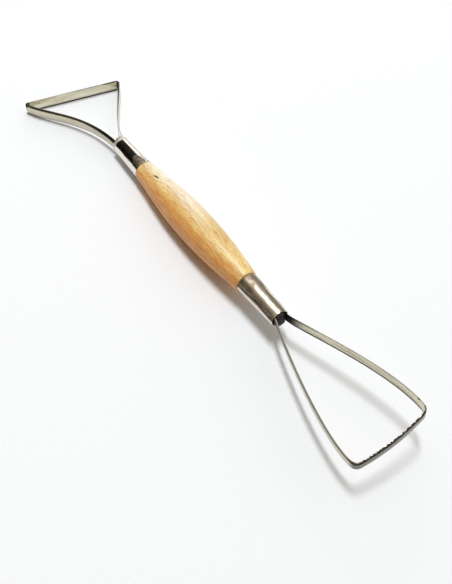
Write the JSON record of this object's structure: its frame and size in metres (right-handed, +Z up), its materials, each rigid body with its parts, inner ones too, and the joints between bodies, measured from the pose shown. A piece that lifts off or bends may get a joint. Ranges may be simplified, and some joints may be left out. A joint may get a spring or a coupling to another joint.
{
  "type": "double-ended loop tool",
  "caption": "Clay trimming tool: a turned beech grip with a tapered steel ferrule at each end, holding a long rounded loop and a wide straight-edged loop bent from flat steel strip.",
  "frame": {"origin": "on the bench, under the middle of the tool's box", "axes": "+X along the tool towards its long loop, +Z up, as the tool lies on its wide loop and the belly of its grip"},
  "size_m": [0.2816, 0.0548, 0.0232],
  "materials": {
    "beech": "satin oiled beech",
    "plated_steel": "worn nickel plate",
    "spring_steel": "ground strip, worn at the edges",
    "stained_wood": "dark stained"
  },
  "bodies": {
    "root": {"handle": "beech", "long_loop_ferrule": "plated_steel", "wide_loop_ferrule": "plated_steel", "long_loop": "spring_steel", "wide_loop": "spring_steel", "long_loop_wedge": "stained_wood", "wide_loop_wedge": "stained_wood"}
  },
  "joints": []
}
